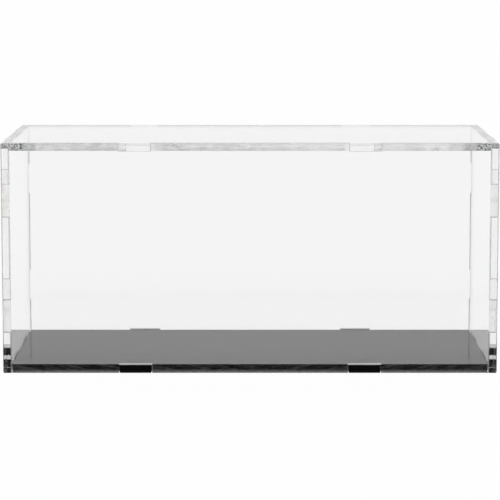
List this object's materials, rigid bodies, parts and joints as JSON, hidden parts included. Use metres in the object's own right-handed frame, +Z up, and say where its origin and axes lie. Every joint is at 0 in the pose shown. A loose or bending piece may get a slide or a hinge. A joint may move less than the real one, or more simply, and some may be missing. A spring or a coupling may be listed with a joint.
{
  "type": "acrylic display box",
  "caption": "Clear acrylic display box of interlocking tabbed sheets on a black gloss base; the clear cover lifts straight off to reach the object on show.",
  "frame": {"origin": "centre of the underside, on the surface that the box stands on", "axes": "+Z up, +X along the width to the right as seen from the front, the front panel faces -Y"},
  "size_m": [0.1876, 0.0874, 0.0875],
  "materials": {
    "clear_acrylic": "polished",
    "black_acrylic": "polished"
  },
  "bodies": {
    "base": {"base_panel": "black_acrylic"},
    "cover": {"front_panel": "clear_acrylic", "back_panel": "clear_acrylic", "left_panel": "clear_acrylic", "right_panel": "clear_acrylic", "top_panel": "clear_acrylic"}
  },
  "joints": [
    {"name": "cover_lift", "type": "slide", "parent": "base", "child": "cover", "axis": [0, 0, 1], "range_m": [0, 0.1]}
  ]
}
